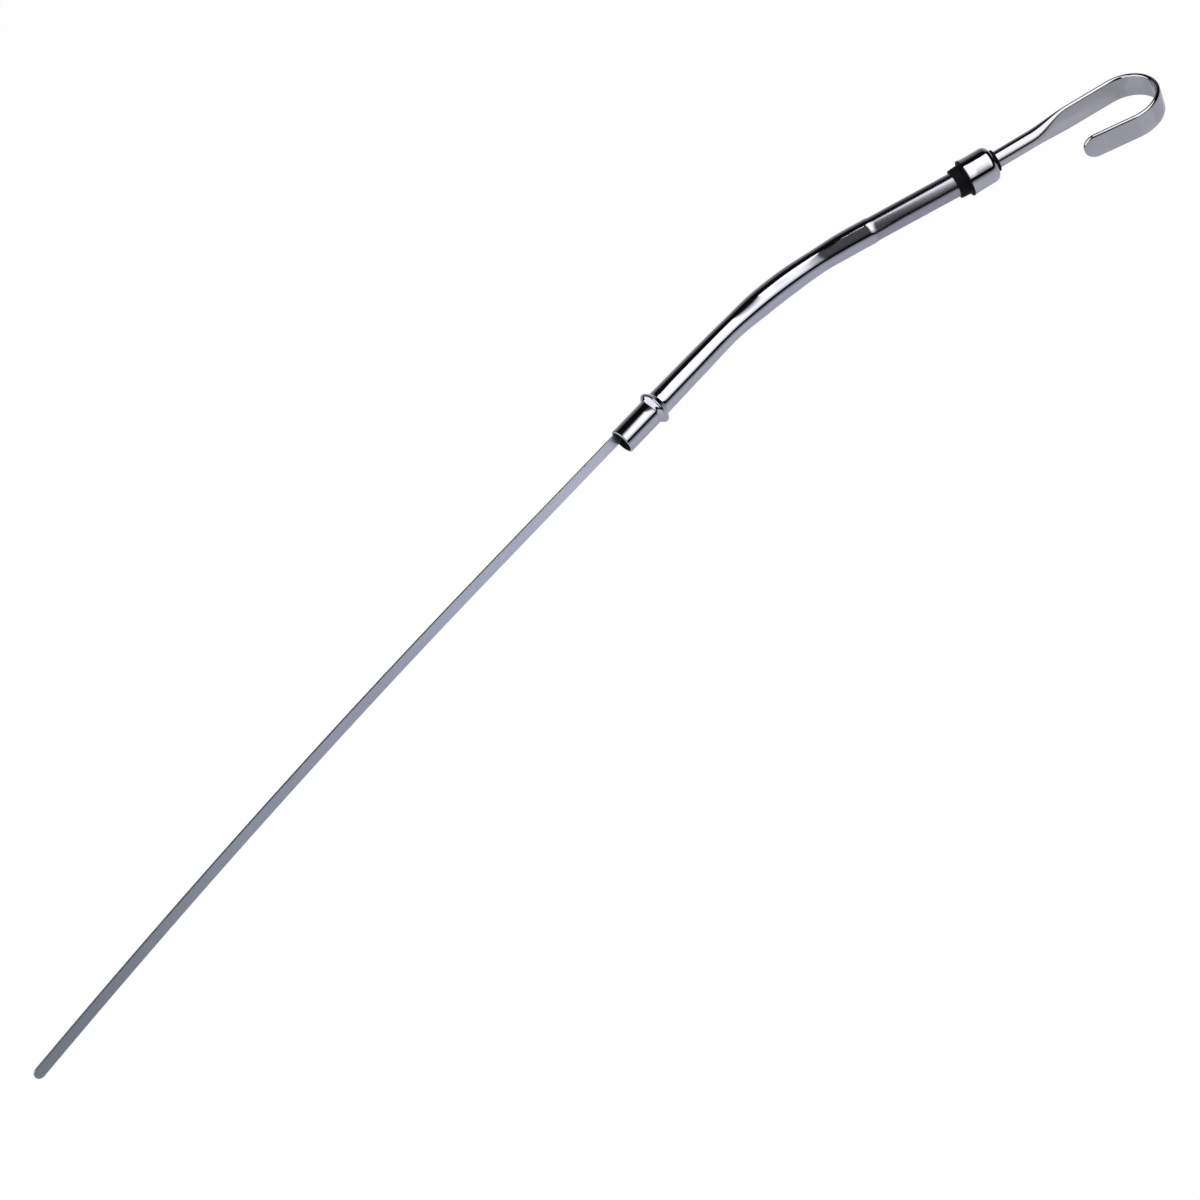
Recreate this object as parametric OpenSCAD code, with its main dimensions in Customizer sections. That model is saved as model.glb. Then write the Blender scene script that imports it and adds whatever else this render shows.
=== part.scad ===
// Engine oil dipstick resting in its bent guide tube.
// The tube's lower end is pressed into an engine block as far as the stop bead.
// The dipstick is a springy blade crimped in a small handle tube, whose upper end is
// flattened and curled into a finger hook. A cap with a rubber seal closes the guide tube.
// +X runs along the lower part of the guide tube, from the bead towards the handle.
// The bend, the lean of the handle and the curl of the hook all lie in the XY plane.

/* [Guide tube] */
// Outside diameter of the guide tube
tube_od = 9.525; // [9.3:0.025:9.7]
// Wall of the guide tube
tube_wall = 0.7; // [0.5:0.05:0.8]
// Outside diameter of the swaged end that goes into the block
socket_od = 10.2; // [9.8:0.05:10.6]
// Length of the swaged end, below the stop bead
socket_len = 15.8; // [10:0.1:30]
// Outside diameter of the stop bead
bead_od = 13.6; // [11.6:0.1:15]
// Width of the stop bead along the tube, with its fillets
bead_w = 4.6; // [3:0.1:6]
// Outside diameter just above the bead
taper_od = 9.9; // [9.75:0.05:10.4]
// Length over which the tube narrows from there to its plain size
taper_len = 17; // [8:0.5:22]

/* [Bend] */
// Straight run from the bead's seat to the start of the bend
lower_run = 36.5; // [32:0.5:80]
// Radius of the bend, to the middle of the tube
bend_radius = 140.9; // [120:0.1:180]
// Angle that the bend turns through
bend_angle = 27; // [22:0.5:40]
// Straight run from the end of the bend to the tube's mouth
upper_run = 49.2; // [44:0.1:80]
// Share by which the press narrowed the tube at the start of the bend
narrowing = 0.055; // [0:0.005:0.09]
// Share by which the press widened the tube in the middle of the bend
first_swell = 0.08; // [0:0.005:0.09]
// Share by which the press widened the tube at the end of the bend
last_swell = 0.055; // [0.02:0.005:0.08]
// Distance from the end of the bend to the crease that the press left on the outer side
crease_past_bend = 8.5; // [6:0.1:12]
// Length past the crease over which the swell runs out on the inner side
crease_runout = 10; // [8:0.5:20]

/* [Blade] */
// Width of the blade
blade_w = 4.76; // [4:0.02:4.8]
// Thickness of the blade
blade_t = 0.8; // [0.5:0.05:1]
// Straight stretch of the blade below the guide tube
blade_straight = 68; // [40:0.5:200]
// Length of the lower stretch, which has taken a slight curve
blade_curved = 233; // [80:0.5:300]
// Radius of that slight curve
blade_curve_radius = 2220; // [1200:10:4000]
// Length of the blade that is gripped in the handle
blade_grip = 7; // [4:0.5:8]

/* [Handle] */
// Outside diameter of the handle tube
shaft_od = 6.6; // [6.2:0.05:6.8]
// Wall of the handle tube
shaft_wall = 0.7; // [0.5:0.05:0.7]
// Length of the handle tube below the seal's lip, inside the guide tube
shaft_below = 11.5; // [11:0.1:12]
// Length of the crimp that grips the blade
crimp_len = 9; // [8.5:0.5:10]
// Thickness of the handle tube across the crimp
crimp_t = 3.6; // [3:0.1:4.5]
// Distance from the seal's lip to the start of the flattening
flat_start = 32; // [26:0.5:45]
// Length over which the round tube becomes a flat strip
flat_blend = 16.5; // [8:0.5:18]
// Gap left between the walls of the flattened part
flat_gap = 0.4; // [0.2:0.1:0.8]
// Share by which the press stretched the girth of the flattened part
flat_stretch = 0.045; // [0:0.005:0.06]
// Distance that the flattened part lies off the tube's axis, towards the outside of the bend
flat_offset = 0.35; // [0:0.05:0.6]
// Straight stretch of the flat strip before the hook
strip_run = 16.7; // [10:0.1:40]
// Radius of the hook, to the middle of the strip
hook_radius = 12.6; // [8:0.1:20]
// Angle that the hook turns through
hook_turn = 189.5; // [150:0.5:195]
// Straight stretch of the strip after the hook, to the start of its round tip
hook_return = 15.2; // [6:0.1:22]

/* [Cap] */
// Outside diameter of the cap at its rim
cap_od = 14.4; // [14.4:0.1:18]
// Outside diameter of the cap where its shoulder begins
cap_top_od = 13.9; // [13.8:0.1:14.2]
// Length of the cap
cap_len = 11.6; // [11:0.1:15]
// Thickness of the cap's sheet
cap_wall = 0.8; // [0.5:0.1:0.9]
// Radius of the cap's shoulder
cap_shoulder = 2.6; // [1.5:0.1:3]

/* [Seal] */
// Length of the guide tube's end that the seal covers
seal_cover = 8; // [7:0.1:9]
// Outside diameter of the seal's lip
lip_od = 11.4; // [11.2:0.1:12]
// Outside diameter of the seal's skirt where it meets the flange
skirt_od = 11.9; // [11.8:0.1:12.6]
// Visible length of the skirt
skirt_len = 4.2; // [2:0.1:5]
// Thickness of the flange under the cap's rim
flange_t = 0.6; // [0.5:0.1:1.5]
// Diameter of the seal's neck, which passes through the cap
neck_od = 7.8; // [7.6:0.1:8.2]
// Outside diameter of the collar above the cap
collar_od = 8.6; // [8.6:0.1:10]
// Thickness of the collar above the cap
collar_t = 1.2; // [0.8:0.1:2]

/* [Fits] */
// Clearance between the blade and the wall of the guide tube
blade_gap = 0.05; // [0.05:0.01:0.1]
// Clearance between the blade and the crimp that grips it
crimp_gap = 0.01; // [0.01:0.01:0.05]
// Clearance between the seal's bore and the guide tube
seal_gap = 0.06; // [0.03:0.01:0.15]

/* [Hidden] */
fine = 96;
small = 24;
// Length by which one shape runs into another that it joins or cuts
lap = 1;
// Shortfall of a swept skin where it runs into a turned shape
tuck = 0.02;
// Chamfer of a cut tube end and of the seal's lip
chamfer = 0.25;

// Radii of the guide tube
tube_r = tube_od / 2;
bore_r = tube_r - tube_wall;
socket_r = socket_od / 2;
socket_bore_r = socket_r - tube_wall;
taper_r = taper_od / 2;
taper_end = bead_w + taper_len;

// Headings are angles from +X, and left_of gives the direction to their left
function heading(angle) = [cos(angle), sin(angle)];
function left_of(angle) = [-sin(angle), cos(angle)];

// The guide tube turns clockwise about bend_centre
bend_centre = [lower_run, -bend_radius];
bend_length = bend_radius * bend_angle * PI / 180;
bend_end = bend_centre + bend_radius * left_of(-bend_angle);

// The seal's lip sits on the guide tube, and the handle leans about this point
lip_run = upper_run - seal_cover;
lip = bend_end + lip_run * heading(-bend_angle);

// How far the blade's middle can stand off the axis of a bore before its edges touch
function blade_reach(bore) = sqrt(bore ^ 2 - (blade_w / 2) ^ 2) - blade_t / 2 - blade_gap;

// The springy blade hugs the inside of the bend, and this sets how far the handle leans
inner_radius = bend_radius - blade_reach(bore_r - tuck);
lip_distance = norm([bend_radius, lip_run]);
lean = acos(inner_radius / lip_distance) - acos(bend_radius / lip_distance);
handle_angle = lean - bend_angle;

// From the tube's lower mouth the blade turns on one arc until it meets the inside of the bend
blade_offset = blade_reach(socket_bore_r);
entry_run = lower_run + socket_len;
entry_rise = blade_offset + bend_radius;
entry_radius = (entry_run ^ 2 + entry_rise ^ 2 - inner_radius ^ 2) / (2 * (entry_rise - inner_radius));
entry_turn = asin(entry_run / (entry_radius - inner_radius));

// Pressed to a thickness, the handle tube keeps its girth, apart from a share of the stretch
shaft_r = shaft_od / 2;
swept_d = shaft_od - 2 * tuck;
function flat_width(t, share) = t + PI * (swept_d * (1 + flat_stretch * share) - t) / 2;
strip_t = 2 * shaft_wall + flat_gap;
strip_w = flat_width(strip_t, 1);

// Heights of the cap and seal along the handle, from the seal's lip
rim = skirt_len + flange_t;
cap_top = rim + cap_len;
plug_top = cap_top - cap_wall;
plug_r = cap_top_od / 2 - cap_wall;
mouth_top = seal_cover + tube_r * sin(lean) + seal_gap;

// Places a shape so that its Z runs along a heading in the XY plane, with its X to the left
module along(point, angle) {
    translate([point.x, point.y, 0]) rotate([0, 0, angle]) rotate([90, 0, 90]) children();
}

// Closed skin over rings of points, which all have as many points
module skin(rings) {
    n = len(rings[0]);
    last = (len(rings) - 1) * n;
    sides = [for (i = [0:n:last - n], j = [0:n - 1])
        [i + j, i + n + j, i + n + (j + 1) % n, i + (j + 1) % n]];
    ends = [[for (j = [0:n - 1]) j], [for (j = [n - 1:-1:0]) last + j]];
    polyhedron([for (ring = rings) for (p = ring) p], concat(sides, ends), convexity = 6);
}

// Smooth step from 0 to 1
function ease(t) = t * t * (3 - 2 * t);

// Swell that the press left along the bend, as [distance from the bend's start, share of the radius]
crease = bend_length + crease_past_bend;
crease_w = 3.5;
swept_from = taper_end - lower_run;
swept_to = crease + crease_runout;
press_marks = [
    [swept_from, 0],
    [0.12 * bend_length, -narrowing],
    [0.38 * bend_length, first_swell],
    [0.51 * bend_length, first_swell],
    [0.77 * bend_length, 0],
    [0.93 * bend_length, last_swell],
    [crease - crease_w, last_swell]];
outer_marks = concat(press_marks, [[crease, 0]]);
inner_marks = concat(press_marks, [[swept_to, 0]]);

function swell(x, marks, i = 1) =
    x > marks[i].x && i < len(marks) - 1 ? swell(x, marks, i + 1) :
    let (a = marks[i - 1], b = marks[i])
    a.y + (b.y - a.y) * ease(min(1, max(0, (x - a.x) / (b.x - a.x))));

// Heading and point of the guide tube's axis at a distance from the bend's start
function axis_angle(x) = -bend_angle * min(1, max(0, x / bend_length));
function axis_point(x) =
    x < 0 ? [lower_run + x, 0] :
    x < bend_length ? bend_centre + bend_radius * left_of(axis_angle(x)) :
    bend_end + (x - bend_length) * heading(-bend_angle);

// Ring about the axis, inset from the outside of the tube, with n points.
// Its swell passes smoothly from the outer side of the bend to the inner side.
function tube_ring(x, inset, n) =
    let (p = axis_point(x), side = left_of(axis_angle(x)))
    let (outer = swell(x, outer_marks), inner = swell(x, inner_marks))
    [for (k = [0:n - 1])
        let (a = 360 * k / n, share = inner + (outer - inner) * (1 + cos(a)) / 2)
        let (r = (tube_r - tuck) * (1 + share) - inset)
        [p.x + side.x * r * cos(a), p.y + side.y * r * cos(a), r * sin(a)]];

// Stations of the sweep, closer together at the crease, and none level with the end of a turned shape
function spread(from, to, steps) = [for (i = [0:steps - 1]) from + (to - from) * i / steps];
stations = concat([swept_from - lap], spread(swept_from + lap, crease - crease_w, 38),
    spread(crease - crease_w, crease, 5), spread(crease, swept_to, 5), [swept_to, swept_to + 2 * lap]);

module swept_tube(inset, n) {
    skin([for (x = stations) tube_ring(x, inset, n)]);
}

// The bead swells and sinks again in fillets
function bead_radius(t) =
    let (foot = socket_r + (taper_r - socket_r) * t, mid = (socket_r + taper_r) / 2)
    foot + (bead_od / 2 - mid) * sin(180 * t) ^ 1.6;
bead_steps = 20;

module lower_outline() {
    bead = [for (i = [0:bead_steps]) let (t = i / bead_steps) [bead_radius(t), bead_w * t]];
    polygon(concat([[0, -socket_len], [socket_r - chamfer, -socket_len], [socket_r, chamfer - socket_len]],
        bead, [[tube_r, taper_end], [0, taper_end]]));
}

module lower_bore_outline() {
    polygon([[0, -socket_len - lap], [socket_bore_r, -socket_len - lap], [socket_bore_r, 0],
        [taper_r - tube_wall, bead_w], [bore_r, taper_end], [0, taper_end]]);
}

// Bent, plated steel tube with its stop bead and press marks
module guide_tube() {
    upper_from = swept_to + lap - bend_length;
    color([0.72, 0.72, 0.76]) difference() {
        union() {
            along([0, 0], 0) rotate_extrude($fn = fine) lower_outline();
            swept_tube(0, 40);
            along(bend_end, -bend_angle) translate([0, 0, upper_from])
                cylinder(upper_run - upper_from, r = tube_r, $fn = fine);
        }
        along([0, 0], 0) rotate_extrude($fn = fine) lower_bore_outline();
        swept_tube(tube_wall, 24);
        along(bend_end, -bend_angle) translate([0, 0, upper_from])
            cylinder(upper_run + lap - upper_from, r = bore_r, $fn = fine);
    }
}

// Points and headings along the middle of the blade, from its tip to its end in the handle
curve_turn = blade_curved / blade_curve_radius * 180 / PI;
curve_centre = [-socket_len - blade_straight, blade_offset - blade_curve_radius];
entry_centre = [-socket_len, blade_offset - entry_radius];
function on_arc(centre, radius, from, to, steps) = [for (i = [0:steps])
    let (a = from + (to - from) * i / steps) [centre + radius * left_of(a), a]];
blade_path = concat(
    on_arc(curve_centre, blade_curve_radius, curve_turn, 0, 14),
    on_arc(entry_centre, entry_radius, 0, -entry_turn, 14),
    on_arc(bend_centre, inner_radius, -entry_turn, handle_angle, 10),
    [[lip + (blade_grip - shaft_below) * heading(handle_angle), handle_angle]]);

module blade_side_outline() {
    half = blade_t / 2;
    n = len(blade_path);
    polygon(concat(
        [for (p = blade_path) p[0] + half * left_of(p[1])],
        [for (i = [n - 1:-1:0]) blade_path[i][0] - half * left_of(blade_path[i][1])]));
}

// Springy steel strip with a round tip, whose radius is a little over half the width
module blade() {
    tip_r = 0.52 * blade_w;
    tip = blade_path[0][0];
    color([0.6, 0.6, 0.68]) difference() {
        linear_extrude(blade_w, center = true) blade_side_outline();
        translate([tip.x, tip.y, 0]) rotate([0, 0, curve_turn]) rotate([90, 0, 0])
            linear_extrude(4 * blade_t, center = true) difference() {
                translate([-lap, -blade_w]) square([lap + tip_r, 2 * blade_w]);
                translate([tip_r, 0]) circle(tip_r, $fn = fine);
            }
    }
}

// Ring of the flattened tube in the handle's own frame, of thickness t and width w
ring_points = 32;
function flat_ring(point, tilt, t, w) = [for (k = [0:ring_points - 1])
    let (a = 360 * (k + 0.5) / ring_points)
    let (out = t / 2 * cos(a), up = t / 2 * sin(a) + sign(sin(a)) * (w - t) / 2)
    [point.x + out * cos(tilt), up, point.y + out * sin(tilt)]];

// The tube flattens from its round section to the strip
blend_steps = 14;
blend_rings = [for (i = [0:blend_steps])
    let (f = i / blend_steps, share = ease(f), t = swept_d + (strip_t - swept_d) * share)
    flat_ring([flat_offset * share, flat_start + flat_blend * f], 0, t, flat_width(t, share))];

// The strip turns to the right about hook_centre, then runs straight to its round tip
hook_steps = 38;
hook_centre = [flat_offset - hook_radius, flat_start + flat_blend + strip_run];
hook_rings = [for (i = [0:hook_steps])
    let (a = hook_turn * i / hook_steps)
    flat_ring(hook_centre + hook_radius * heading(a), a, strip_t, strip_w)];
return_start = hook_centre + hook_radius * heading(hook_turn);
tip_steps = 9;
tip_last = acos(strip_t / strip_w);
tip_rings = [for (i = [0:tip_steps])
    let (a = tip_last * i / tip_steps, run = hook_return + strip_w / 2 * sin(a))
    flat_ring(return_start + run * left_of(hook_turn), hook_turn, strip_t, strip_w * cos(a))];

// Small tube, crimped on the blade at one end and flattened into a finger hook at the other
module handle() {
    crimp_top = crimp_len - shaft_below;
    slot_t = blade_t + 2 * crimp_gap;
    slot_w = blade_w + 2 * crimp_gap;
    color([0.7, 0.7, 0.74]) along(lip, handle_angle) {
        difference() {
            translate([0, 0, -shaft_below]) cylinder(shaft_below + flat_start, r = shaft_r, $fn = fine);
            for (side = [-1, 1])
                translate([side * (crimp_t + shaft_od) / 2, 0, crimp_top - crimp_len])
                cube([shaft_od, 2 * shaft_od, 2 * crimp_len], center = true);
            translate([-slot_t / 2, -slot_w / 2, crimp_top - crimp_len - lap])
                cube([slot_t, slot_w, crimp_len + 2 * lap]);
            translate([0, 0, crimp_top])
                cylinder(flat_start - 2 * lap - crimp_top, r = shaft_r - shaft_wall, $fn = fine);
        }
        skin(concat([flat_ring([0, flat_start - lap], 0, swept_d, swept_d)],
            blend_rings, hook_rings, tip_rings));
    }
}

module cap_outline(inset) {
    top = cap_top - inset;
    side = cap_top_od / 2 - inset;
    bend = cap_shoulder - inset;
    foot = rim - (inset > 0 ? lap : 0);
    translate([side - bend, top - bend]) circle(bend, $fn = small);
    polygon([[0, foot], [cap_od / 2 - inset, foot], [cap_od / 2 - inset, rim], [side, top - bend],
        [side - bend, top], [0, top]]);
}

// Drawn cap, open at its rim, with a hole for the seal's neck
module cap() {
    color([0.75, 0.75, 0.78]) along(lip, handle_angle) rotate_extrude($fn = fine) difference() {
        cap_outline(0);
        cap_outline(cap_wall);
        square([neck_od / 2, cap_top + lap]);
    }
}

// Rubber seal: skirt, flange and plug in one, with a neck and collar through the cap.
// Its bore widens from the lip so that the guide tube can lean in it.
module seal() {
    lip_bore = tube_r + seal_gap;
    mouth_bore = lip_bore + mouth_top * tan(lean);
    color([0.06, 0.06, 0.07]) along(lip, handle_angle) rotate_extrude($fn = fine) polygon([
        [lip_bore, 0], [lip_od / 2 - chamfer, 0], [lip_od / 2, chamfer], [skirt_od / 2, skirt_len],
        [cap_od / 2, skirt_len], [cap_od / 2, rim], [plug_r, rim], [plug_r, plug_top - cap_shoulder],
        [plug_r - cap_shoulder, plug_top], [neck_od / 2, plug_top], [neck_od / 2, cap_top],
        [collar_od / 2, cap_top], [collar_od / 2, cap_top + collar_t], [shaft_r, cap_top + collar_t],
        [shaft_r, mouth_top], [mouth_bore, mouth_top]]);
}

guide_tube();
blade();
handle();
cap();
seal();
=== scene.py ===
"""Looks of an engine oil dipstick that rests in its bent guide tube.

Lengths are in millimetres until a mesh is made. The frame is the part's own: +X runs along the lower
part of the guide tube towards the handle, and the bend, the lean and the hook lie in the XY plane.
"""
from math import acos, asin, cos, hypot, pi, radians, sin, sqrt

import bpy
from mathutils import Euler, Matrix, Vector


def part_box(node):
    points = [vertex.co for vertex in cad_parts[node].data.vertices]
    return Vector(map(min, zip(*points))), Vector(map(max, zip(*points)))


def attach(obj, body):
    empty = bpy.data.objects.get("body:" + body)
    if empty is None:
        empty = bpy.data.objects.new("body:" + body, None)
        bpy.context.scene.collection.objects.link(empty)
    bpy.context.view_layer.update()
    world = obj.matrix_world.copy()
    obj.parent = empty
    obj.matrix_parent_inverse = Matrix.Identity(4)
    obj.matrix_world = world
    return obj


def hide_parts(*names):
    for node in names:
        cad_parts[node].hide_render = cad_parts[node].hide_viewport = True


MM = 0.001

# Guide tube
TUBE_R = 4.7625
TUBE_WALL = 0.7
SOCKET_R = 5.1
SOCKET_LEN = 15.8
BEAD_R = 6.8
BEAD_W = 4.6
BEAD_SHARPNESS = 1.6
TAPER_R = 4.95
TAPER_LEN = 17.0
LOWER_RUN = 36.5
BEND_RADIUS = 140.9
BEND_ANGLE = radians(27)
UPPER_RUN = 49.2
NARROWING = 0.055
FIRST_SWELL = 0.08
LAST_SWELL = 0.055
CREASE_PAST_BEND = 8.5
CREASE_W = 3.5
CREASE_RUNOUT = 10.0
CREASE_REACH = 0.09
CREASE_LIP = 0.04
CREASE_LIP_W = 3.0
CHAMFER = 0.25
TUCK = 0.02

# Blade
BLADE_W = 4.76
BLADE_T = 0.8
BLADE_STRAIGHT = 68.0
BLADE_CURVED = 233.0
BLADE_CURVE_RADIUS = 2220.0
BLADE_GRIP = 7.0
BLADE_GAP = 0.05
BLADE_EDGE = 0.2
BLADE_TIP_R = 0.52 * BLADE_W

# Handle
SHAFT_R = 3.3
SHAFT_WALL = 0.7
SHAFT_BELOW = 11.5
FLAT_START = 32.0
FLAT_BLEND = 16.5
FLAT_GAP = 0.4
FLAT_STRETCH = 0.045
FLAT_OFFSET = 0.35
STRIP_RUN = 16.7
HOOK_RADIUS = 12.6
HOOK_TURN = radians(189.5)
HOOK_RETURN = 15.2

# Cap and seal
CAP_R = 7.2
CAP_TOP_R = 6.95
CAP_LEN = 11.6
CAP_WALL = 0.8
CAP_SHOULDER = 2.6
CAP_FLARE = 0.4
SEAL_COVER = 8.0
LIP_R = 5.7
SKIRT_R = 5.95
SKIRT_LEN = 4.2
FLANGE_T = 0.6
NECK_R = 3.9
COLLAR_R = 4.3
COLLAR_T = 1.2
SEAL_GAP = 0.06

# The photograph's view
CAMERA_AT = (-222.2, -544.4, 491.5)
CAMERA_TURN = (40.86, 24.54, -42.50)
CAMERA_LENS = 62.14


def ease(t):
    """Smooth step from 0 to 1."""
    t = min(1.0, max(0.0, t))
    return t * t * (3 - 2 * t)


def mix(a, b, t):
    return a + (b - a) * t


def heading(angle):
    return Vector((cos(angle), sin(angle)))


def left_of(angle):
    return Vector((-sin(angle), cos(angle)))


def blade_reach(bore):
    """How far the blade's middle can stand off the axis of a bore."""
    return sqrt(bore ** 2 - (BLADE_W / 2) ** 2) - BLADE_T / 2 - BLADE_GAP


# Places that follow from the sizes above, as in the part's source
BORE_R = TUBE_R - TUBE_WALL
TAPER_END = BEAD_W + TAPER_LEN
BEND_LENGTH = BEND_RADIUS * BEND_ANGLE
BEND_CENTRE = Vector((LOWER_RUN, -BEND_RADIUS))
BEND_END = BEND_CENTRE + BEND_RADIUS * left_of(-BEND_ANGLE)
LIP_RUN = UPPER_RUN - SEAL_COVER
LIP = BEND_END + LIP_RUN * heading(-BEND_ANGLE)
INNER_RADIUS = BEND_RADIUS - blade_reach(BORE_R - TUCK)
LIP_DISTANCE = hypot(BEND_RADIUS, LIP_RUN)
LEAN = acos(INNER_RADIUS / LIP_DISTANCE) - acos(BEND_RADIUS / LIP_DISTANCE)
HANDLE_ANGLE = LEAN - BEND_ANGLE
RIM = SKIRT_LEN + FLANGE_T
CAP_TOP = RIM + CAP_LEN
STRIP_T = 2 * SHAFT_WALL + FLAT_GAP
SWEPT_D = 2 * (SHAFT_R - TUCK)


def flat_width(t, share):
    """Width of the handle tube pressed to a thickness, whose girth gains a share of the stretch."""
    return t + pi * (SWEPT_D * (1 + FLAT_STRETCH * share) - t) / 2


STRIP_W = flat_width(STRIP_T, 1)


def skin_mesh(name, rings, closed=False, sharp=32):
    """A mesh over rings of as many points. It runs in a loop, or is capped at both ends."""
    n = len(rings[0])
    points = [Vector(p) * MM for ring in rings for p in ring]
    count = len(rings) if closed else len(rings) - 1
    faces = []
    for i in range(count):
        a, b = i * n, (i + 1) % len(rings) * n
        faces += [(a + j, a + (j + 1) % n, b + (j + 1) % n, b + j) for j in range(n)]
    if not closed:
        faces.append(tuple(range(n - 1, -1, -1)))
        faces.append(tuple(range((len(rings) - 1) * n, len(rings) * n)))
    mesh = bpy.data.meshes.new(name)
    mesh.from_pydata(points, [], faces)
    mesh.validate()
    mesh.shade_smooth()
    mesh.set_sharp_from_angle(angle=radians(sharp))
    piece = bpy.data.objects.new(name, mesh)
    bpy.context.scene.collection.objects.link(piece)
    return piece


def axis_ring(point, angle, outer, inner, n):
    """A ring square to a heading, whose outer radius holds nearly all the way round to its inner side."""
    side = left_of(angle)
    ring = []
    for k in range(n):
        a = 2 * pi * k / n
        share = (1 + cos(a)) / 2
        r = mix(inner, outer, ease(share / CREASE_REACH))
        ring.append((point.x + side.x * r * cos(a), point.y + side.y * r * cos(a), r * sin(a)))
    return ring


def fillet(corner, before, after, radius, steps=4):
    """Points of a rounded corner in a profile."""
    c, p, q = Vector(corner), Vector(before), Vector(after)
    u, v = (p - c).normalized(), (q - c).normalized()
    a, b = c + u * radius, c + v * radius
    return [tuple(a * (1 - t) ** 2 + c * 2 * t * (1 - t) + b * t ** 2)
            for t in (i / steps for i in range(steps + 1))]


def rounded(profile, radii):
    """A profile whose corners are rounded where a radius is given."""
    out = []
    n = len(profile)
    for i, (p, r) in enumerate(zip(profile, radii)):
        out += [p] if r == 0 else fillet(p, profile[i - 1], profile[(i + 1) % n], r)
    return out


def turned(name, profile, n=128, sharp=32):
    """A closed profile of (radius, height) turned about the handle's axis."""
    rings = []
    side = left_of(HANDLE_ANGLE)
    for r, h in profile:
        at = LIP + heading(HANDLE_ANGLE) * h
        rings.append([(at.x + side.x * r * cos(a), at.y + side.y * r * cos(a), r * sin(a))
                      for a in (2 * pi * k / n for k in range(n))])
    return skin_mesh(name, rings, closed=True, sharp=sharp)


# Guide tube

CREASE = BEND_LENGTH + CREASE_PAST_BEND
CREASE_LIP_END = CREASE - 1
SWEPT_FROM = TAPER_END - LOWER_RUN
SWEPT_TO = CREASE + CREASE_RUNOUT
PRESS_MARKS = [
    (SWEPT_FROM, 0.0),
    (0.12 * BEND_LENGTH, -NARROWING),
    (0.38 * BEND_LENGTH, FIRST_SWELL),
    (0.51 * BEND_LENGTH, FIRST_SWELL),
    (0.77 * BEND_LENGTH, 0.0),
    (0.93 * BEND_LENGTH, LAST_SWELL),
    (CREASE - CREASE_W, LAST_SWELL),
]
OUTER_MARKS = PRESS_MARKS + [(CREASE, 0.0)]
INNER_MARKS = PRESS_MARKS + [(SWEPT_TO, 0.0)]


def swell(x, marks):
    """Share that the press added to the tube's radius, at a distance from the bend's start."""
    if x <= marks[0][0]:
        return marks[0][1]
    for (a, va), (b, vb) in zip(marks, marks[1:]):
        if x <= b:
            return mix(va, vb, ease((x - a) / (b - a)))
    return marks[-1][1]


def tube_axis(x):
    """Point and heading of the guide tube's axis, at a distance from the bend's start."""
    if x < 0:
        return Vector((LOWER_RUN + x, 0)), 0.0
    if x < BEND_LENGTH:
        angle = -x / BEND_RADIUS
        return BEND_CENTRE + BEND_RADIUS * left_of(angle), angle
    return BEND_END + (x - BEND_LENGTH) * heading(-BEND_ANGLE), -BEND_ANGLE


def tube_radius(z):
    """Outside radius with the socket and the taper, at a distance from the bead's seat."""
    if z <= 0:
        return SOCKET_R
    if z < BEAD_W:
        return mix(SOCKET_R, TAPER_R, z / BEAD_W)
    return mix(TAPER_R, TUBE_R, min(1.0, (z - BEAD_W) / TAPER_LEN))


def bead_height(z):
    """How far the bead stands out past the tube's radius."""
    if not 0 < z < BEAD_W:
        return 0.0
    return (BEAD_R - (SOCKET_R + TAPER_R) / 2) * sin(pi * z / BEAD_W) ** BEAD_SHARPNESS


def lip_height(x):
    """How far the crease's lip stands out past the swollen tube."""
    return CREASE_LIP * sin(pi * min(1.0, max(0.0, (CREASE_LIP_END - x) / CREASE_LIP_W))) ** 2


def tube_ring(x, inset, n):
    """A ring of the tube's outside, or of its bore when it is set in by the wall."""
    point, angle = tube_axis(x)
    z = x + LOWER_RUN
    r = tube_radius(z) if inset else tube_radius(z) + bead_height(z)
    stand_off = lip_height(x) - inset
    outer, inner = (r * (1 + swell(x, marks)) + stand_off for marks in (OUTER_MARKS, INNER_MARKS))
    return axis_ring(point, angle, outer, inner, n)


def spread(a, b, step):
    count = max(1, round((b - a) / step))
    return [a + (b - a) * i / count for i in range(count)]


def guide_tube():
    """The tube's skin, outside and bore, with its socket end eased and its bore marked as unplated, where it
    is drawn rough and painted near black as shade.
    """
    n = 128
    foot = -LOWER_RUN - SOCKET_LEN
    seat, bead_top, mouth = -LOWER_RUN, BEAD_W - LOWER_RUN, BEND_LENGTH + UPPER_RUN
    fine_from = CREASE - 6
    stations = ([foot + CHAMFER] + spread(foot + 2 * CHAMFER, seat, 3) + spread(seat, bead_top, 0.12)
                + spread(bead_top, fine_from, 1.4) + spread(fine_from, CREASE, 0.15)
                + spread(CREASE, SWEPT_TO, 1.0) + spread(SWEPT_TO, mouth, 3) + [mouth])
    outside = [tube_ring(x, 0, n) for x in stations]
    inside = [tube_ring(x, TUBE_WALL, n) for x in spread(foot, mouth, 3) + [mouth]]
    start, _ = tube_axis(foot)
    bore_edge = TUBE_WALL - 0.06
    end = [axis_ring(start + Vector((d, 0)), 0, SOCKET_R - cut, SOCKET_R - cut, n)
           for d, cut in ((0, bore_edge), (0, CHAMFER), (0.06, 0.13), (0.14, 0.05))]
    piece = skin_mesh("guide_tube_skin", end + outside + inside[::-1], closed=True, sharp=40)
    unplated_shaded_bore = piece.data.attributes.new("unplated_shaded_bore", "FLOAT", "POINT")
    bore_from = n * (len(end) + len(outside))
    unplated_shaded_bore.data.foreach_set("value", [float(i >= bore_from) for i in range(len(piece.data.vertices))])
    return piece


# Blade

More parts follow.
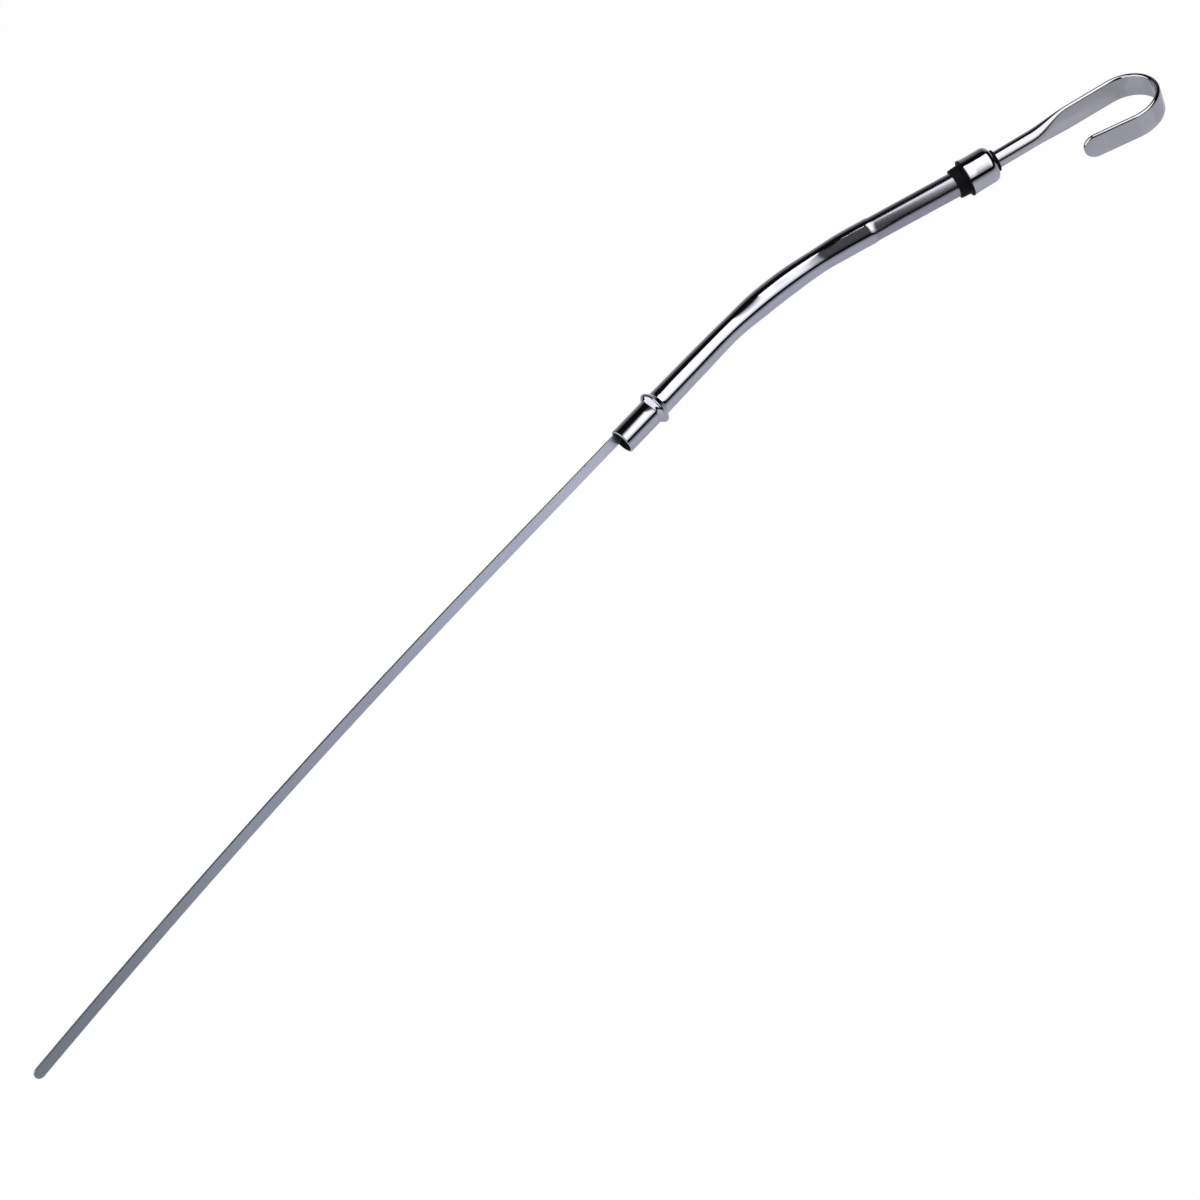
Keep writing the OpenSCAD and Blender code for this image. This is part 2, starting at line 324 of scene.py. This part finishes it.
def on_arc(centre, radius, start, end, step):
    count = max(1, round(radius * abs(end - start) / step))
    return [(centre + radius * left_of(a), a) for a in
            (mix(start, end, i / count) for i in range(count + 1))]


def blade_path():
    """Points and headings along the middle of the blade, from its tip into the handle."""
    offset = blade_reach(SOCKET_R - TUBE_WALL)
    run, rise = LOWER_RUN + SOCKET_LEN, offset + BEND_RADIUS
    entry_radius = (run ** 2 + rise ** 2 - INNER_RADIUS ** 2) / (2 * (rise - INNER_RADIUS))
    entry_turn = asin(run / (entry_radius - INNER_RADIUS))
    curve_turn = BLADE_CURVED / BLADE_CURVE_RADIUS
    curve_centre = Vector((-SOCKET_LEN - BLADE_STRAIGHT, offset - BLADE_CURVE_RADIUS))
    entry_centre = Vector((-SOCKET_LEN, offset - entry_radius))
    tip_turn = curve_turn * 0.98
    tip = on_arc(curve_centre, BLADE_CURVE_RADIUS, curve_turn, tip_turn, 0.3)[:-1]
    curved = on_arc(curve_centre, BLADE_CURVE_RADIUS, curve_turn, 0, 4)
    end = LIP + (BLADE_GRIP - SHAFT_BELOW) * heading(HANDLE_ANGLE)
    return (tip + [p for p in curved if p[1] < tip_turn]
            + on_arc(entry_centre, entry_radius, 0, -entry_turn, 4)
            + on_arc(BEND_CENTRE, INNER_RADIUS, -entry_turn, HANDLE_ANGLE, 4)
            + [(end, HANDLE_ANGLE)])


def blade():
    """The strip's rings are rounded rectangles, which close in a round tip."""
    path = blade_path()
    rings = []
    run = 0.0
    for i, (point, angle) in enumerate(path):
        if i:
            run += (point - path[i - 1][0]).length
        reach = sqrt(BLADE_TIP_R ** 2 - max(0.0, BLADE_TIP_R - run) ** 2)
        half_w = max(0.12, min(BLADE_W / 2, reach))
        half_t = BLADE_T / 2
        edge = min(BLADE_EDGE, half_w * 0.9)
        side = left_of(angle)
        ring = []
        for cx, cy, a0 in ((1, 1, 0), (-1, 1, 90), (-1, -1, 180), (1, -1, 270)):
            for a in (0, 30, 60, 90):
                across = cx * (half_t - edge) + edge * cos(radians(a0 + a))
                high = cy * (half_w - edge) + edge * sin(radians(a0 + a))
                ring.append((point.x + side.x * across, point.y + side.y * across, high))
        rings.append(ring)
    return skin_mesh("blade_strip", rings, sharp=60)


# Handle

def flat_ring(point, tilt, t, w, n):
    """A stadium ring in the handle's frame, turned by its tilt towards the hook's side."""
    along, side = heading(HANDLE_ANGLE), left_of(HANDLE_ANGLE)
    ring = []
    for k in range(n):
        a = 2 * pi * (k + 0.5) / n
        out = t / 2 * cos(a)
        high = t / 2 * sin(a) + (1 if sin(a) > 0 else -1) * (w - t) / 2
        x, z = point[0] + out * cos(tilt), point[1] + out * sin(tilt)
        at = LIP + along * z + side * x
        ring.append((at.x, at.y, high))
    return ring


def handle():
    """The shaft, its flattening, and the strip that curls into the hook and closes in a round end."""
    n, flattening, curl, rounding = 96, 60, 96, 24
    round_d = 2 * SHAFT_R
    rings = [flat_ring((0, z), 0, d, d, n) for z, d in
             ((-SHAFT_BELOW, round_d - 0.5), (0.25 - SHAFT_BELOW, round_d))]
    rings += [flat_ring((0, z), 0, round_d, round_d, n) for z in spread(0, FLAT_START - 0.5, 4)]
    for i in range(flattening + 1):
        share = ease(i / flattening)
        t = mix(SWEPT_D, STRIP_T, share)
        place = (FLAT_OFFSET * share, FLAT_START + FLAT_BLEND * i / flattening)
        rings.append(flat_ring(place, 0, t, flat_width(t, share), n))
    strip_end = FLAT_START + FLAT_BLEND + STRIP_RUN
    rings += [flat_ring((FLAT_OFFSET, z), 0, STRIP_T, STRIP_W, n)
              for z in spread(FLAT_START + FLAT_BLEND + 1, strip_end, 3)]
    centre = Vector((FLAT_OFFSET - HOOK_RADIUS, strip_end))
    for i in range(curl + 1):
        a = HOOK_TURN * i / curl
        rings.append(flat_ring(centre + HOOK_RADIUS * heading(a), a, STRIP_T, STRIP_W, n))
    start = centre + HOOK_RADIUS * heading(HOOK_TURN)
    last = acos(STRIP_T / STRIP_W)
    rings += [flat_ring(start + run * left_of(HOOK_TURN), HOOK_TURN, STRIP_T, STRIP_W, n)
              for run in (HOOK_RETURN / 3, HOOK_RETURN * 2 / 3)]
    for i in range(rounding + 1):
        a = last * i / rounding
        run = HOOK_RETURN + STRIP_W / 2 * sin(a)
        rings.append(flat_ring(start + run * left_of(HOOK_TURN), HOOK_TURN, STRIP_T, STRIP_W * cos(a), n))
    return skin_mesh("handle_skin", rings, sharp=50)


# Cap and seal

def cap():
    """Drawn cup, flared and rounded at its rim, with a turned-in edge at the hole for the seal's neck."""
    top, inner_top = CAP_TOP, CAP_TOP - CAP_WALL
    rim_edge = RIM + 0.2
    wall = [(CAP_TOP_R + (CAP_R - CAP_TOP_R) * max(0.0, 1 - t / CAP_FLARE) ** 2,
             mix(rim_edge, top - CAP_SHOULDER, t))
            for t in (0, 0.02, 0.06, 0.12, 0.18, 0.24, 0.3, 0.36, 0.42, 0.6, 0.8, 0.97, 1)]
    arc = [(CAP_TOP_R - CAP_SHOULDER * (1 - cos(a)), top - CAP_SHOULDER + CAP_SHOULDER * sin(a))
           for a in (pi / 2 * i / 16 for i in range(1, 17))]
    bend = CAP_SHOULDER - CAP_WALL
    inner = [(CAP_TOP_R - CAP_WALL - bend * (1 - cos(a)), inner_top - bend + bend * sin(a))
             for a in (pi / 2 * i / 8 for i in range(8, -1, -1))]
    rim = [(CAP_R - CAP_WALL, RIM + 0.1), (CAP_R - CAP_WALL + 0.15, RIM), (CAP_R - 0.2, RIM),
           (CAP_R - 0.06, RIM + 0.06)]
    hole = [(NECK_R + 0.1, top), (NECK_R, top - 0.1), (NECK_R, inner_top)]
    return turned("cap_shell", rim + wall + arc + hole + inner, sharp=40)


def seal():
    """Moulded boot with a flange and a collar, whose corners are rounded as rubber is."""
    mouth = SEAL_COVER + TUBE_R * sin(LEAN) + SEAL_GAP
    lip_bore = TUBE_R + SEAL_GAP
    plug_r, plug_top = CAP_TOP_R - CAP_WALL, CAP_TOP - CAP_WALL
    profile = [
        (lip_bore, 0), (LIP_R, 0), (SKIRT_R, SKIRT_LEN), (CAP_R, SKIRT_LEN), (CAP_R, RIM), (plug_r, RIM),
        (plug_r, plug_top - CAP_SHOULDER), (plug_r - CAP_SHOULDER, plug_top), (NECK_R, plug_top),
        (NECK_R, CAP_TOP), (COLLAR_R, CAP_TOP), (COLLAR_R, CAP_TOP + COLLAR_T),
        (SHAFT_R, CAP_TOP + COLLAR_T), (SHAFT_R, mouth), (lip_bore + mouth * sin(LEAN), mouth)]
    radii = [0.15, 0.3, 0.4, 0.22, 0.12, 0, 0, 0, 0, 0, 0.15, 0.4, 0.25, 0, 0]
    return turned("seal_boot", rounded(profile, radii), sharp=50)


# Materials

def new_material(name):
    material = bpy.data.materials.new(name)
    material.use_nodes = True
    return material, material.node_tree, material.node_tree.nodes["Principled BSDF"]


def object_place(tree, angle=0.0, stretch=1.0):
    """The part's coordinates with X laid along a heading, and patterns drawn out that way."""
    place = tree.nodes.new("ShaderNodeTexCoord")
    aligned = tree.nodes.new("ShaderNodeMapping")
    aligned.vector_type = "TEXTURE"
    aligned.inputs["Rotation"].default_value = (0, 0, angle)
    aligned.inputs["Scale"].default_value = (stretch, 1, 1)
    tree.links.new(place.outputs["Object"], aligned.inputs["Vector"])
    return aligned.outputs["Vector"]


def noise(tree, scale, detail=3.0, stretch=1.0, angle=0.0):
    """Noise in the part's own space, which may be drawn out along one heading."""
    texture = tree.nodes.new("ShaderNodeTexNoise")
    texture.inputs["Scale"].default_value = scale
    texture.inputs["Detail"].default_value = detail
    tree.links.new(object_place(tree, angle, stretch), texture.inputs["Vector"])
    return texture.outputs["Fac"]


def ranged(tree, value, low, high, start=0.3, end=0.7):
    """Spreads a value from one range over another, and holds it at the ends."""
    node = tree.nodes.new("ShaderNodeMapRange")
    node.inputs["From Min"].default_value = start
    node.inputs["From Max"].default_value = end
    node.inputs["To Min"].default_value = low
    node.inputs["To Max"].default_value = high
    tree.links.new(value, node.inputs["Value"])
    return node.outputs["Result"]


def along(tree, angle, start, end, low=0.0, high=1.0):
    """A value that passes from low to high between two places along a heading, in millimetres."""
    split = tree.nodes.new("ShaderNodeSeparateXYZ")
    tree.links.new(object_place(tree, angle), split.inputs["Vector"])
    return ranged(tree, split.outputs["X"], low, high, start * MM, end * MM)


def combined(tree, operation, a, b):
    node = tree.nodes.new("ShaderNodeMath")
    node.operation = operation
    tree.links.new(a, node.inputs[0])
    tree.links.new(b, node.inputs[1])
    return node.outputs[0]


def blended(tree, value, low, high):
    """A colour between two others, each of which is a plain colour or another node's."""
    node = tree.nodes.new("ShaderNodeMix")
    node.data_type = "RGBA"
    for socket, color in (("A", low), ("B", high)):
        if isinstance(color, tuple):
            node.inputs[socket].default_value = (*color, 1)
        else:
            tree.links.new(color, node.inputs[socket])
    tree.links.new(value, node.inputs["Factor"])
    return node.outputs["Result"]


def bumped(tree, shader, heights):
    """Chains bumps of (height, depth in metres, strength) into a shader's normal."""
    last = None
    for height, depth, strength in heights:
        bump = tree.nodes.new("ShaderNodeBump")
        bump.inputs["Strength"].default_value = strength
        bump.inputs["Distance"].default_value = depth
        tree.links.new(height, bump.inputs["Height"])
        if last:
            tree.links.new(last, bump.inputs["Normal"])
        last = bump.outputs["Normal"]
    tree.links.new(last, shader.inputs["Normal"])


def plated(name, dark, light, smooth, rough, wave, angle=0.0):
    """Bright plating over drawn steel: faint waves, fine lengthwise polish lines and a few darker clouds."""
    material, tree, shader = new_material(name)
    shader.inputs["Metallic"].default_value = 1.0
    tone = blended(tree, ranged(tree, noise(tree, 90, 4, 3, angle), 0, 1), dark, light)
    lines = noise(tree, 2600, 2, 25, angle)
    dullness = ranged(tree, lines, smooth, rough)
    tree.links.new(tone, shader.inputs["Base Color"])
    tree.links.new(dullness, shader.inputs["Roughness"])
    bumped(tree, shader, [(noise(tree, 130, 2), wave, 1.0), (lines, 0.0000004, 0.5)])
    return material, tree, shader, tone, dullness


def tube_chrome(name):
    """Plating that is mirror bright up to the crease and duller past it, over a rough unplated bore whose
    near-black colour is painted shade.
    """
    dark, light = (0.4, 0.4, 0.44), (0.45, 0.45, 0.49)
    material, tree, shader, tone, dullness = plated(name, dark, light, 0.02, 0.05, 0.000015)
    bend_end = LIP.x * cos(BEND_ANGLE) - LIP.y * sin(BEND_ANGLE) - LIP_RUN
    crease = bend_end + CREASE_PAST_BEND
    past = along(tree, -BEND_ANGLE, crease - 2, crease - 1)
    scuffs = ranged(tree, noise(tree, 400, 4, 6, -BEND_ANGLE), 0.05, 0.11)
    dulled = combined(tree, "MULTIPLY", past, scuffs)
    dull_from = crease - 45
    worn = along(tree, -BEND_ANGLE, dull_from, crease, 0.0, 0.04)
    # Past the crease the base colour is darker and the roughness higher.
    outer_tone = blended(tree, past, tone, (0.34, 0.335, 0.37))
    outer_dullness = combined(tree, "ADD", combined(tree, "ADD", dullness, worn), dulled)
    unplated_shaded_bore = tree.nodes.new("ShaderNodeAttribute")
    unplated_shaded_bore.attribute_name = "unplated_shaded_bore"
    bore = unplated_shaded_bore.outputs["Fac"]
    # The bore is rough unplated steel, and its near-black colour is painted shade.
    tree.links.new(blended(tree, bore, outer_tone, (0.06, 0.055, 0.05)), shader.inputs["Base Color"])
    tree.links.new(combined(tree, "MAXIMUM", outer_dullness, bore), shader.inputs["Roughness"])
    return material


def spring_steel(name):
    """Satin rolled strip with lengthwise grain, a few stains, and painted shade that darkens it towards its
    tip.
    """
    material, tree, shader = new_material(name)
    shader.inputs["Metallic"].default_value = 1.0
    stain = ranged(tree, noise(tree, 45, 5, 4), 0, 1)
    unshaded_tone = blended(tree, stain, (0.5, 0.52, 0.58), (0.58, 0.6, 0.66))
    painted_shade_tone = blended(tree, stain, (0.2, 0.225, 0.24), (0.25, 0.275, 0.29))
    # Painted shade: the strip's colour darkens from its root towards its tip, standing in for a dimmer
    # reflection there.
    tree.links.new(blended(tree, along(tree, 0, -330, -40), painted_shade_tone, unshaded_tone), shader.inputs["Base Color"])
    lines = noise(tree, 5200, 3, 60)
    tree.links.new(ranged(tree, lines, 0.24, 0.36), shader.inputs["Roughness"])
    bumped(tree, shader, [(lines, 0.000003, 0.6), (noise(tree, 60, 2), 0.00002, 0.5)])
    return material


def moulded_rubber(name):
    """Matte black rubber with a fine skin and a little dust."""
    material, tree, shader = new_material(name)
    dust = ranged(tree, noise(tree, 220, 5), 0, 1)
    tone = blended(tree, dust, (0.003, 0.003, 0.0035), (0.007, 0.007, 0.008))
    tree.links.new(tone, shader.inputs["Base Color"])
    tree.links.new(ranged(tree, noise(tree, 900, 3), 0.5, 0.66), shader.inputs["Roughness"])
    shader.inputs["Specular IOR Level"].default_value = 0.07
    bumped(tree, shader, [(noise(tree, 1500, 3), 0.000012, 0.5)])
    return material


# Studio

def stage_material(name, build):
    material = bpy.data.materials.new(name)
    material.use_nodes = True
    tree = material.node_tree
    tree.nodes.clear()
    output = tree.nodes.new("ShaderNodeOutputMaterial")
    tree.links.new(build(tree), output.inputs["Surface"])
    return material


def plain_glow(color):
    def build(tree):
        glow = tree.nodes.new("ShaderNodeEmission")
        glow.inputs["Color"].default_value = (*color, 1)
        return glow.outputs[0]
    return build


def shader_mix(tree, share, first, second):
    both = tree.nodes.new("ShaderNodeMixShader")
    tree.links.new(share, both.inputs["Fac"])
    tree.links.new(first, both.inputs[1])
    tree.links.new(second, both.inputs[2])
    return both.outputs[0]


def floor_surface(tree):
    """White board that keeps the part's shadow. Where metal shows it at a low angle, it mirrors the room."""
    path = tree.nodes.new("ShaderNodeLightPath")
    mirrored = combined(tree, "MAXIMUM", path.outputs["Is Glossy Ray"], path.outputs["Is Transmission Ray"])
    to_camera = ranged(tree, path.outputs["Is Camera Ray"], 0, 0.985, 0, 1)
    white_share = combined(tree, "MAXIMUM", to_camera, ranged(tree, mirrored, 0, 0.4, 0, 1))
    glow = tree.nodes.new("ShaderNodeEmission")
    matte = tree.nodes.new("ShaderNodeBsdfDiffuse")
    matte.inputs["Color"].default_value = (0.76, 0.77, 1.0, 1)
    gloss = tree.nodes.new("ShaderNodeBsdfGlossy")
    gloss.inputs["Roughness"].default_value = 0.12
    glance = tree.nodes.new("ShaderNodeFresnel")
    glance.inputs["IOR"].default_value = 1.5
    board = shader_mix(tree, white_share, matte.outputs[0], glow.outputs[0])
    glossy_share = combined(tree, "MULTIPLY", glance.outputs[0], mirrored)
    return shader_mix(tree, glossy_share, board, gloss.outputs[0])


def direction(azimuth, elevation):
    """Unit vector from angles in degrees, with the azimuth counted from +X towards +Y."""
    a, e = radians(azimuth), radians(elevation)
    return Vector((cos(e) * cos(a), cos(e) * sin(a), sin(e)))


def softbox(name, azimuth, elevation, distance, size, radiance, target):
    """A lamp for the floor and the rubber. The metal shows the sheets and cards in its place."""
    lamp = bpy.data.lights.new(name, "AREA")
    lamp.shape = "SQUARE"
    lamp.size = size
    lamp.energy = radiance * pi * size ** 2
    box = bpy.data.objects.new(name, lamp)
    out = direction(azimuth, elevation)
    turn = out.to_track_quat("Z", "Y").to_matrix().to_4x4()
    box.matrix_world = Matrix.Translation(target + out * distance) @ turn
    box.visible_camera = False
    box.visible_glossy = False
    bpy.context.scene.collection.objects.link(box)


def stage_mesh(name, points, faces, material):
    mesh = bpy.data.meshes.new(name)
    mesh.from_pydata(points, [], faces)
    mesh.materials.append(material)
    piece = bpy.data.objects.new(name, mesh)
    bpy.context.scene.collection.objects.link(piece)
    return piece


def mirrored_only(name, points, faces, glow):
    """A glowing or dark sheet that shows only in reflections, as photographers set round bright metal."""
    piece = stage_mesh(name, points, faces, stage_material(name, glow))
    piece.visible_camera = False
    piece.visible_diffuse = False
    piece.visible_transmission = False
    piece.visible_shadow = False
    return piece


def curved_card(name, azimuths, elevations, tone, distance, target):
    across, up = 32, 12
    points = [target + distance * direction(mix(*azimuths, i / across), mix(*elevations, j / up))
              for j in range(up + 1) for i in range(across + 1)]
    row = across + 1
    faces = [(j * row + i, j * row + i + 1, (j + 1) * row + i + 1, (j + 1) * row + i)
             for j in range(up) for i in range(across)]
    mirrored_only(name, points, faces, plain_glow(tone))


def between(pairs, at):
    """Value at a place, from a table of (place, value) in rising order."""
    for (a, va), (b, vb) in zip(pairs, pairs[1:]):
        if at <= b:
            return mix(va, vb, max(0.0, (at - a) / (b - a)))
    return pairs[-1][1]


def painted_glow(tree):
    """Light as strong as the mesh's own attribute says."""
    painted = tree.nodes.new("ShaderNodeAttribute")
    painted.attribute_name = "glow"
    glow = tree.nodes.new("ShaderNodeEmission")
    glow.inputs["Color"].default_value = (1, 1, 1.04, 1)
    tree.links.new(painted.outputs["Fac"], glow.inputs["Strength"])
    return glow.outputs[0]


def overhead_sheet():
    """Diffuser over the part. Its left side fades across a fan of lines from one corner."""
    height, corner = 450, (167, 60)
    far_edge_from, far_edge_slope = 186, -0.085
    # Strength by a line's slope from the corner, and the share of it that is left at each depth
    fade = [(0.1, 2.4), (0.15, 2.0), (0.19, 1.6), (0.21, 1.25), (0.25, 1.0), (0.31, 0.72), (0.325, 0.5),
            (0.345, 0.2), (0.36, 0.12), (0.6, 0.12), (0.8, 0.03)]
    depth = [(-1500, 0.36), (-1200, 0.42), (-1000, 0.55), (-850, 0.68), (-700, 0.84), (-550, 1.0),
             (corner[1], 1.0)]
    slopes = [0.8 - 0.01 * i for i in range(71)]
    columns = (200, 560)
    rows = [60, 40, 20, 0] + [-30 * i for i in range(1, 19)] + [-600 - 60 * i for i in range(16)]
    points, tones = [], []
    for y in rows:
        line = [(corner[0] + slope * (y - corner[1]), y, between(fade, slope)) for slope in slopes]
        rise = far_edge_slope if y == corner[1] else 0
        line += [(x, y + rise * (x - far_edge_from), fade[0][1]) for x in columns]
        points += [Vector((x, at, height)) * MM for x, at, tone in line]
        tones += [tone * between(depth, at) for x, at, tone in line]
    n = len(slopes) + len(columns)
    faces = [(j * n + i, j * n + i + 1, (j + 1) * n + i + 1, (j + 1) * n + i)
             for j in range(len(rows) - 1) for i in range(n - 1)]
    sheet = mirrored_only("overhead_sheet", points, faces, painted_glow)
    sheet.data.attributes.new("glow", "FLOAT", "POINT").data.foreach_set("value", tones)


def world_light():
    """White to the camera and to mirror-like rays, and dimmer as a light."""
    world = bpy.data.worlds.new("studio")
    bpy.context.scene.world = world
    world.use_nodes = True
    tree = world.node_tree
    tree.nodes.clear()
    path = tree.nodes.new("ShaderNodeLightPath")
    seen = combined(tree, "MAXIMUM", path.outputs["Is Glossy Ray"], path.outputs["Is Transmission Ray"])
    seen = combined(tree, "MAXIMUM", seen, path.outputs["Is Camera Ray"])
    glow = tree.nodes.new("ShaderNodeBackground")
    tree.links.new(ranged(tree, seen, 0.5, 1.0, 0, 1), glow.inputs["Strength"])
    output = tree.nodes.new("ShaderNodeOutputWorld")
    tree.links.new(glow.outputs[0], output.inputs["Surface"])


def studio(floor_z):
    reach = 4.0
    corners = [(x * reach, y * reach, floor_z) for x, y in ((-1, -1), (1, -1), (1, 1), (-1, 1))]
    stage_mesh("floor", corners, [(0, 1, 2, 3)], stage_material("pale_floor", floor_surface))
    target = Vector((60, -15, 0)) * MM
    softbox("key_lamp", -48, 46, 1.4, 1.2, 2.2, target)
    softbox("side_lamp", -120, 40, 1.6, 0.9, 1.0, target)
    for name, azimuths, elevations, tone, distance in (
        ("dark_tent", (0, 360), (-10, 90), 0.008, 3.0),
        ("far_wall_foot", (20, 105), (-1, 7), 0.75, 2.1),
        ("far_wall", (20, 105), (6, 24), 0.3, 2.1),
        ("far_wall_top", (20, 105), (24, 34), 0.17, 2.1),
        ("far_wall_edge", (20, 105), (34, 39), 0.05, 2.1),
        ("left_card", (118, 215), (8, 70), 1.9, 2.1),
    ):
        curved_card(name, azimuths, elevations, (tone, tone, tone * 1.04), distance, target)
    overhead_sheet()
    world_light()


def camera():
    data = bpy.data.cameras.new("camera")
    data.lens = CAMERA_LENS
    data.sensor_width = 36
    data.clip_start = 0.01
    viewer = bpy.data.objects.new("camera", data)
    viewer.location = Vector(CAMERA_AT) * MM
    viewer.rotation_euler = Euler([radians(a) for a in CAMERA_TURN])
    bpy.context.scene.collection.objects.link(viewer)
    bpy.context.scene.camera = viewer


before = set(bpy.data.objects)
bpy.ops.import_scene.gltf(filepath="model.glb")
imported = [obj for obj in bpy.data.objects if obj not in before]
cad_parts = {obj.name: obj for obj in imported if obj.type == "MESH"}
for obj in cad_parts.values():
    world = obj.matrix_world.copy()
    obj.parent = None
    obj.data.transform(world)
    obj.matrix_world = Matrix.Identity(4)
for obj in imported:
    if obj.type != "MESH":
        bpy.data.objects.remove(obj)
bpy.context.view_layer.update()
camera()

MATERIALS = {
    "tube_chrome": tube_chrome("tube_chrome"),
    "handle_chrome": plated("handle_chrome", (0.37, 0.37, 0.375), (0.44, 0.44, 0.445), 0.04, 0.08,
                            0.00003, HANDLE_ANGLE)[0],
    "cap_chrome": plated("cap_chrome", (0.41, 0.41, 0.42), (0.47, 0.47, 0.48), 0.03, 0.06, 0.00001,
                         HANDLE_ANGLE)[0],
    "blade_steel": spring_steel("blade_steel"),
    "seal_rubber": moulded_rubber("seal_rubber"),
}

for node, piece, slot in (
    ("guide_tube", guide_tube(), "tube_chrome"),
    ("blade", blade(), "blade_steel"),
    ("handle", handle(), "handle_chrome"),
    ("cap", cap(), "cap_chrome"),
    ("seal", seal(), "seal_rubber"),
):
    piece.data.materials.append(MATERIALS[slot])
    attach(piece, "root")
    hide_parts(node)

studio(min(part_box(node)[0].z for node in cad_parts))

bpy.context.scene.view_settings.view_transform = "Standard"
